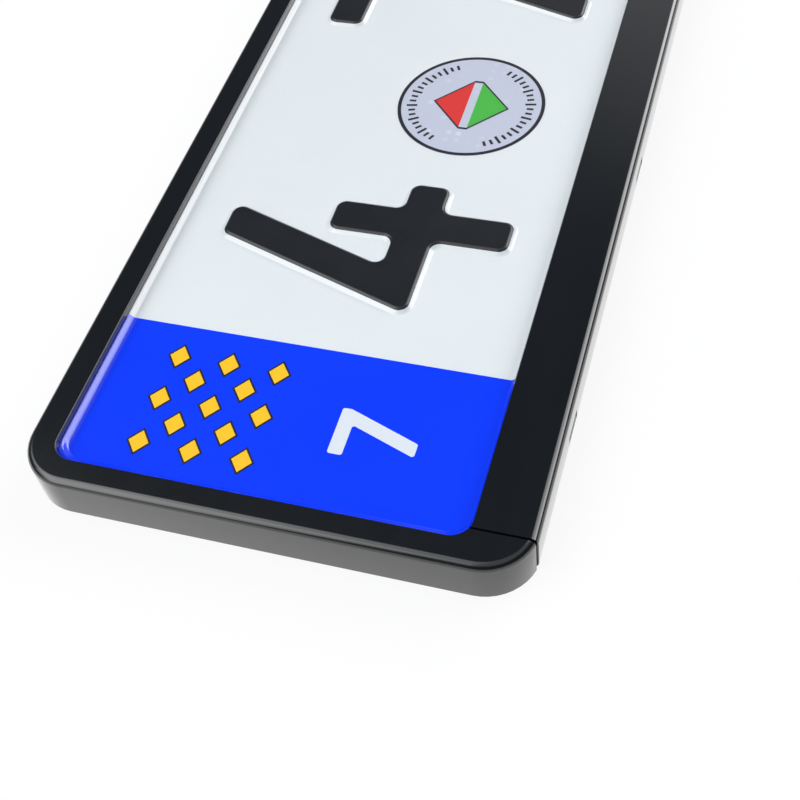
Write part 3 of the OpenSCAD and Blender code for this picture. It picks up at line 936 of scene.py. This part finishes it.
# Lozenges in staggered rows: a square grid, and a smaller one in its gaps
def lozengeField(graph, sizes):
    pitch, columns = sizes["Pitch"], sizes["Columns"]
    grids = []
    for count in (columns, columns - 1):
        span = (count - 1) * pitch
        grids.append(graph.add("GeometryNodeMeshGrid", {}, {
            "Size X": span, "Size Y": span, "Vertices X": count, "Vertices Y": count}))
    spots = graph.add("GeometryNodeJoinGeometry", {}, {0: grids})
    prism = graph.add("GeometryNodeMeshCylinder", {}, {
        "Vertices": 4, "Radius": 1.0, "Depth": sizes["Thickness"]})
    scale = graph.add("ShaderNodeCombineXYZ", {}, {0: sizes["Half Length"], 1: sizes["Half Width"], 2: 1.0})
    lozenge = graph.add("GeometryNodeTransform", {}, {"Geometry": prism, "Scale": scale})
    return graph.add("GeometryNodeInstanceOnPoints", {}, {"Points": spots, "Instance": lozenge})


# Bars on two arcs of a circle, every third one longer
def tickRing(graph, sizes):
    ring = graph.add("GeometryNodeMeshCircle", {}, {"Vertices": sizes["Count"], "Radius": sizes["Radius"]})
    x, y, z = graph.split(graph.add("GeometryNodeInputPosition"))
    turn = graph.add("ShaderNodeCombineXYZ", {}, {2: y.maths("ARCTAN2", y, x)})
    third = (graph.add("GeometryNodeInputIndex") % 3) < 0.5
    stretch = graph.add("ShaderNodeCombineXYZ", {}, {0: third * sizes["Stretch"] + 1, 1: 1.0, 2: 1.0})
    size = graph.add("ShaderNodeCombineXYZ", {}, {
        0: sizes["Length"], 1: sizes["Width"], 2: sizes["Thickness"]})
    bar = graph.add("GeometryNodeMeshCube", {}, {"Size": size})
    kept = abs(y) > sizes["Radius"] * sizes["Gap"]
    return graph.add("GeometryNodeInstanceOnPoints", {}, {
        "Points": ring, "Selection": kept, "Instance": bar, "Rotation": turn, "Scale": stretch})


marksLook = {
    "columns": 3,
    "waist": 0.8,       # a lozenge's width as a share of its length
    "outline": 0.5,
    "ink": 0.03,
}


# The yellow lozenges and the dark ones, a little larger, that show round them. The field is as many
# pitches long as it is wide, so the rest of both gives a lozenge's size.
def makeMarks(look):
    low, high = nodeBox("band_marks")
    middle, full = (low + high) / 2, high - low
    waist, ink = look["waist"], look["ink"]
    halfLength = (full[0] - full[1]) / 2 / (1 - waist)
    pitch = (full[0] - 2 * halfLength) / (look["columns"] - 1)
    tilt = look["outline"] * math.hypot(1, waist)
    for name, slot, grow, lift, material, replaced in (
            ("markEdges", "dark_print", tilt, 0.0, "navy", ()),
            ("marks", "yellow_print", 0.0, full[2] - ink, "yellow", ("band_marks",))):
        sizes = {
            "Columns": look["columns"], "Pitch": float(pitch), "Thickness": ink,
            "Half Length": float(halfLength + grow / waist),
            "Half Width": float(halfLength * waist + grow),
        }
        tree = geometryTree(name, sizes, materials[material], lozengeField)
        place = (middle[0], middle[1], low[2] + lift + ink / 2)
        newPiece(name, grownMesh(name, tree, sizes, place), "holder", slot, *replaced)


ticksLook = {
    "count": 54,
    "inset": 4.0,       # from the label's ring in to the ticks' middles
    "length": 1.9,
    "width": 0.75,
    "stretch": 0.6,     # how much longer every third one is
    "gap": 0.42,        # half height of the two places left open, as a share of the radius
    "ink": 0.03,
}


def makeTicks(look):
    low, high = nodeBox("seal_ring")
    middle, radius = (low + high) / 2, (high[0] - low[0]) / 2
    sizes = {
        "Count": look["count"], "Radius": float(radius - look["inset"]), "Length": look["length"],
        "Width": look["width"], "Stretch": look["stretch"], "Gap": look["gap"],
        "Thickness": look["ink"],
    }
    tree = geometryTree("labelTicks", sizes, materials["dark"], tickRing)
    place = (middle[0], middle[1], low[2] + look["ink"] / 2)
    newPiece("labelTicks", grownMesh("labelTicks", tree, sizes, place), "holder", "dark_print")


# Flat piece with a straight wall round it, given by its outer and inner corners
def flatPiece(name, outer, holes, low, high, material):
    surface = Surface()
    rings = []
    for loop in (outer, *holes):
        first = len(surface.points)
        for x, y in loop:
            surface.points.append((x, y, high))
            surface.normals.append(np.array([0.0, 0.0, 1.0]))
        rings.append(list(range(first, len(surface.points))))
    surface.fill(*rings)
    return surface.shell(name, 0, high - low, material)


emblemLook = {
    "outline": 0.45,
    "sideShare": 1.6,       # the outline's reach at the sides and at the tips, times its width
    "tipShare": 1.5,
    "ink": 0.03,
}


# A dark line round the two coloured parts of the label's lozenge
def makeEmblemEdge(look):
    upLow, upHigh = nodeBox("seal_upper_field")
    downHigh = nodeBox("seal_lower_field")[1]
    x, y = (upLow[0] + upHigh[0]) / 2, (upLow[1] + downHigh[1]) / 2
    halfX, halfY = (upHigh[0] - upLow[0]) / 2, upHigh[1] - y
    c = (upLow[1] - downHigh[1]) / 2

    def lozenge(grow):
        a, b = halfX + look["sideShare"] * grow, halfY + look["tipShare"] * grow
        return [(x, y - b), (x + a, y - c), (x + a, y + c), (x, y + b), (x - a, y + c), (x - a, y - c)]

    outer, inner = lozenge(look["outline"]), lozenge(0.0)
    mesh = flatPiece("emblemEdge", outer, [inner], upLow[2], upLow[2] + look["ink"], materials["dark"])
    newPiece("emblemEdge", mesh, "holder", "dark_print")


makeMarks(marksLook)
makeTicks(ticksLook)
makeEmblemEdge(emblemLook)

# Nodes that stay as the CAD has them, with their materials
plainLooks = {
    "band_digit": "white", "seal_label": "label", "seal_ring": "dark",
    "seal_upper_field": "red", "seal_lower_field": "green",
}
for node, look in plainLooks.items():
    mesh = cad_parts[node].data
    mesh.materials.clear()
    mesh.materials.append(materials[look])
print("dressed", len(plainLooks), "of the CAD's own pieces")

bpy.context.scene.view_settings.view_transform = "Standard"
